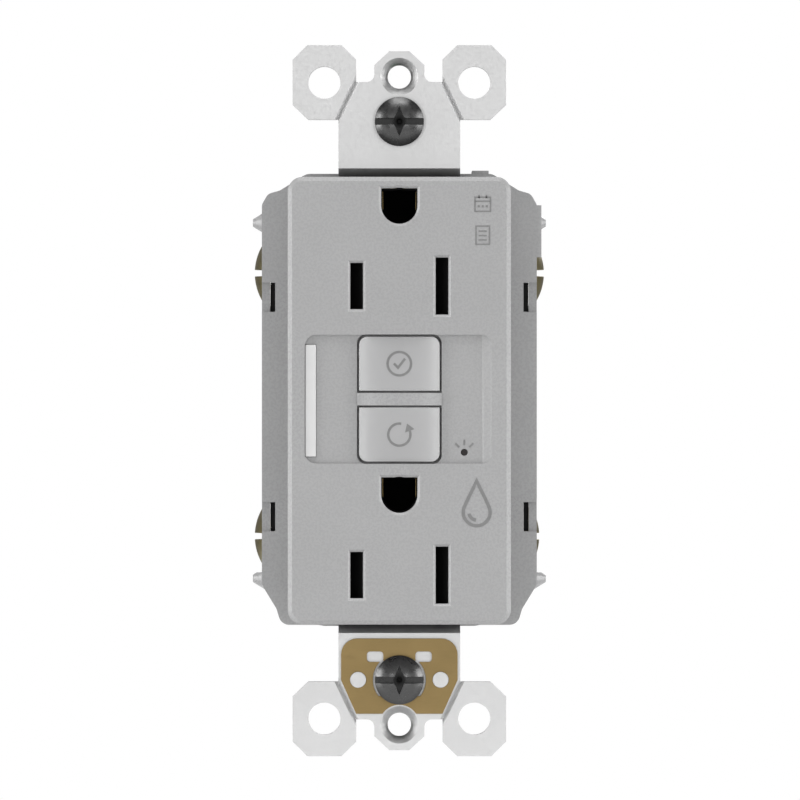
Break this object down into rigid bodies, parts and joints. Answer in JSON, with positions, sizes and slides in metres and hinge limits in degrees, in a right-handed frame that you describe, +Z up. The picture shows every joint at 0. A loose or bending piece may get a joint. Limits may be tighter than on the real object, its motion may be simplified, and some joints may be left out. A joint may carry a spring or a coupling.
{
  "type": "gfci outlet",
  "caption": "Gray self-test ground-fault duplex outlet with test and reset buttons, status light, mounting strap, side terminals and a full trip mechanism inside.",
  "frame": {"origin": "middle between the two box screws, in the plane of the strap's wall side", "axes": "X to the right seen from the room, Y into the wall (the face looks along -Y), Z up, along the strap"},
  "size_m": [0.044, 0.0339, 0.1062],
  "materials": {
    "gray_housing": "fine moulded texture",
    "gray_button": "smooth moulded",
    "zinc_steel": "zinc plated, satin",
    "spring_steel": "bright drawn wire",
    "clip_brass": "tarnished stamped sheet",
    "contact_brass": "stamped sheet",
    "terminal_screw_brass": "dull olive plating",
    "dark_screw": "dark polished steel",
    "ground_green": "green dyed steel",
    "black_plastic": "black moulded",
    "status_lens": "milky, glossy",
    "fault_lens": "dark clear",
    "board_green": "solder mask",
    "led_body": "clear resin",
    "core_winding": "enamelled copper winding",
    "varistor_blue": "epoxy dipped",
    "component_black": "moulded components"
  },
  "bodies": {
    "device": {"front_cover": "gray_housing", "middle_housing": "gray_housing", "back_housing": "gray_housing", "housing_screws": "zinc_steel", "mounting_strap": "zinc_steel", "self_ground_clip": "clip_brass", "test_spring": "spring_steel", "reset_spring": "spring_steel", "status_light_pipe": "status_lens", "fault_light_pipe": "fault_lens", "circuit_board": "board_green", "indicator_leds": "led_body", "sensing_transformer": "core_winding", "grounding_transformer": "core_winding", "transformer_housing": "black_plastic", "solenoid_bobbin": "black_plastic", "solenoid_coil": "core_winding", "plunger_spring": "spring_steel", "hot_contact_bus": "contact_brass", "neutral_contact_bus": "contact_brass", "upper_ground_contact": "contact_brass", "lower_ground_contact": "contact_brass", "upper_shutter_spring": "spring_steel", "lower_shutter_spring": "spring_steel", "upper_shutter_base": "black_plastic", "lower_shutter_base": "black_plastic", "line_hot_terminal": "contact_brass", "line_neutral_terminal": "contact_brass", "load_hot_terminal": "contact_brass", "load_neutral_terminal": "contact_brass", "ground_terminal": "zinc_steel", "varistor": "varistor_blue", "board_components": "component_black", "insulating_strips": "black_plastic"},
    "test_button": {"test_button": "gray_button"},
    "test_arm": {"test_switch_arm": "contact_brass"},
    "reset_button": {"reset_button": "gray_button", "reset_rod": "spring_steel"},
    "carrier": {"contact_carrier": "black_plastic"},
    "latch": {"trip_latch": "spring_steel"},
    "plunger": {"solenoid_plunger": "spring_steel"},
    "hot_arm": {"hot_contact_arm": "contact_brass"},
    "neutral_arm": {"neutral_contact_arm": "contact_brass"},
    "upper_shutter": {"upper_shutter": "black_plastic"},
    "lower_shutter": {"lower_shutter": "black_plastic"},
    "top_retainer": {"screw_retainer_top": "black_plastic"},
    "bottom_retainer": {"screw_retainer_bottom": "black_plastic"},
    "top_mounting_screw": {"mounting_screw_top": "dark_screw"},
    "bottom_mounting_screw": {"mounting_screw_bottom": "dark_screw"},
    "line_hot_clamp": {"line_hot_clamp": "zinc_steel"},
    "line_neutral_clamp": {"line_neutral_clamp": "zinc_steel"},
    "load_hot_clamp": {"load_hot_clamp": "zinc_steel"},
    "load_neutral_clamp": {"load_neutral_clamp": "zinc_steel"},
    "line_hot_screw": {"line_hot_screw": "terminal_screw_brass"},
    "line_neutral_screw": {"line_neutral_screw": "terminal_screw_brass"},
    "load_hot_screw": {"load_hot_screw": "terminal_screw_brass"},
    "load_neutral_screw": {"load_neutral_screw": "terminal_screw_brass"},
    "ground_clamp": {"ground_clamp": "zinc_steel"},
    "ground_screw": {"ground_screw": "ground_green"}
  },
  "joints": [
    {"name": "test_press", "type": "slide", "parent": "device", "child": "test_button", "axis": [0, 1, 0], "range_m": [0, 0.0015], "stiffness_N_per_m": 400, "springref_m": -0.001, "deforming": ["test_spring"]},
    {"name": "test_arm_swing", "type": "hinge", "parent": "device", "child": "test_arm", "pos_m": [0.007, 0.00575, 0.0055], "axis": [0, 0, -1], "range_deg": [0, 12.1]},
    {"name": "reset_press", "type": "slide", "parent": "device", "child": "reset_button", "axis": [0, 1, 0], "range_m": [0, 0.0025], "stiffness_N_per_m": 500, "springref_m": -0.001, "deforming": ["reset_spring"]},
    {"name": "contact_carrier_slide", "type": "slide", "parent": "device", "child": "carrier", "axis": [0, 1, 0], "range_m": [0, 0.0016]},
    {"name": "hot_contact_swing", "type": "hinge", "parent": "device", "child": "hot_arm", "pos_m": [-0.0065, 0.0163, 0.0112], "axis": [1, 0, 0], "range_deg": [0, 4.8]},
    {"name": "neutral_contact_swing", "type": "hinge", "parent": "device", "child": "neutral_arm", "pos_m": [0.0065, 0.0163, 0.0112], "axis": [1, 0, 0], "range_deg": [0, 4.8]},
    {"name": "plunger_slide", "type": "slide", "parent": "device", "child": "plunger", "axis": [0, 0, -1], "range_m": [0, 0.0012], "stiffness_N_per_m": 60, "springref_m": -0.002, "deforming": ["plunger_spring"]},
    {"name": "latch_slide", "type": "slide", "parent": "carrier", "child": "latch", "axis": [0, 0, -1], "range_m": [0, 0.0012]},
    {"name": "upper_shutter_slide", "type": "slide", "parent": "device", "child": "upper_shutter", "axis": [1, 0, 0], "range_m": [0, 0.0023], "stiffness_N_per_m": 60, "springref_m": -0.002, "deforming": ["upper_shutter_spring"]},
    {"name": "lower_shutter_slide", "type": "slide", "parent": "device", "child": "lower_shutter", "axis": [1, 0, 0], "range_m": [0, 0.0023], "stiffness_N_per_m": 60, "springref_m": -0.002, "deforming": ["lower_shutter_spring"]},
    {"name": "top_mounting_screw_shift", "type": "slide", "parent": "device", "child": "top_retainer", "axis": [1, 0, 0], "range_m": [-0.0011, 0.0011]},
    {"name": "top_mounting_screw_turn", "type": "hinge", "parent": "top_retainer", "child": "top_mounting_screw", "pos_m": [0, 0, 0.04167], "axis": [0, 1, 0], "continuous": true},
    {"name": "bottom_mounting_screw_shift", "type": "slide", "parent": "device", "child": "bottom_retainer", "axis": [1, 0, 0], "range_m": [-0.0011, 0.0011]},
    {"name": "bottom_mounting_screw_turn", "type": "hinge", "parent": "bottom_retainer", "child": "bottom_mounting_screw", "pos_m": [0, 0, -0.04167], "axis": [0, 1, 0], "continuous": true},
    {"name": "line_hot_clamp_slide", "type": "slide", "parent": "device", "child": "line_hot_clamp", "axis": [1, 0, 0], "range_m": [0, 0.0022]},
    {"name": "line_hot_screw_turn", "type": "hinge", "parent": "line_hot_clamp", "child": "line_hot_screw", "pos_m": [-0.017, 0.0096, 0.0192], "axis": [1, 0, 0], "range_deg": [0, 998.8]},
    {"name": "line_neutral_clamp_slide", "type": "slide", "parent": "device", "child": "line_neutral_clamp", "axis": [-1, 0, 0], "range_m": [0, 0.0022]},
    {"name": "line_neutral_screw_turn", "type": "hinge", "parent": "line_neutral_clamp", "child": "line_neutral_screw", "pos_m": [0.017, 0.0096, 0.0192], "axis": [-1, 0, 0], "range_deg": [0, 998.8]},
    {"name": "load_hot_clamp_slide", "type": "slide", "parent": "device", "child": "load_hot_clamp", "axis": [1, 0, 0], "range_m": [0, 0.0022]},
    {"name": "load_hot_screw_turn", "type": "hinge", "parent": "load_hot_clamp", "child": "load_hot_screw", "pos_m": [-0.017, 0.0096, -0.0204], "axis": [1, 0, 0], "range_deg": [0, 998.8]},
    {"name": "load_neutral_clamp_slide", "type": "slide", "parent": "device", "child": "load_neutral_clamp", "axis": [-1, 0, 0], "range_m": [-0.0007, 0.0015]},
    {"name": "load_neutral_screw_turn", "type": "hinge", "parent": "load_neutral_clamp", "child": "load_neutral_screw", "pos_m": [0.017, 0.0096, -0.0204], "axis": [-1, 0, 0], "range_deg": [-318.5, 681.3]},
    {"name": "ground_clamp_slide", "type": "slide", "parent": "device", "child": "ground_clamp", "axis": [0, 0, -1], "range_m": [0, 0.0019]},
    {"name": "ground_screw_turn", "type": "hinge", "parent": "ground_clamp", "child": "ground_screw", "pos_m": [0.0056, 0.0095, 0.036], "axis": [0, 0, -1], "range_deg": [0, 862.7]}
  ],
  "couplings": [
    {"joint": "test_arm_swing", "follows": "test_press", "rad_per_m": 140},
    {"joint": "hot_contact_swing", "follows": "contact_carrier_slide", "rad_per_m": 52},
    {"joint": "neutral_contact_swing", "follows": "contact_carrier_slide", "rad_per_m": 52},
    {"joint": "latch_slide", "follows": "plunger_slide", "ratio": 1},
    {"joint": "line_hot_screw_turn", "follows": "line_hot_clamp_slide", "rad_per_m": 7915.8},
    {"joint": "line_neutral_screw_turn", "follows": "line_neutral_clamp_slide", "rad_per_m": 7915.8},
    {"joint": "load_hot_screw_turn", "follows": "load_hot_clamp_slide", "rad_per_m": 7915.8},
    {"joint": "load_neutral_screw_turn", "follows": "load_neutral_clamp_slide", "rad_per_m": 7915.8},
    {"joint": "ground_screw_turn", "follows": "ground_clamp_slide", "rad_per_m": 7915.8}
  ]
}
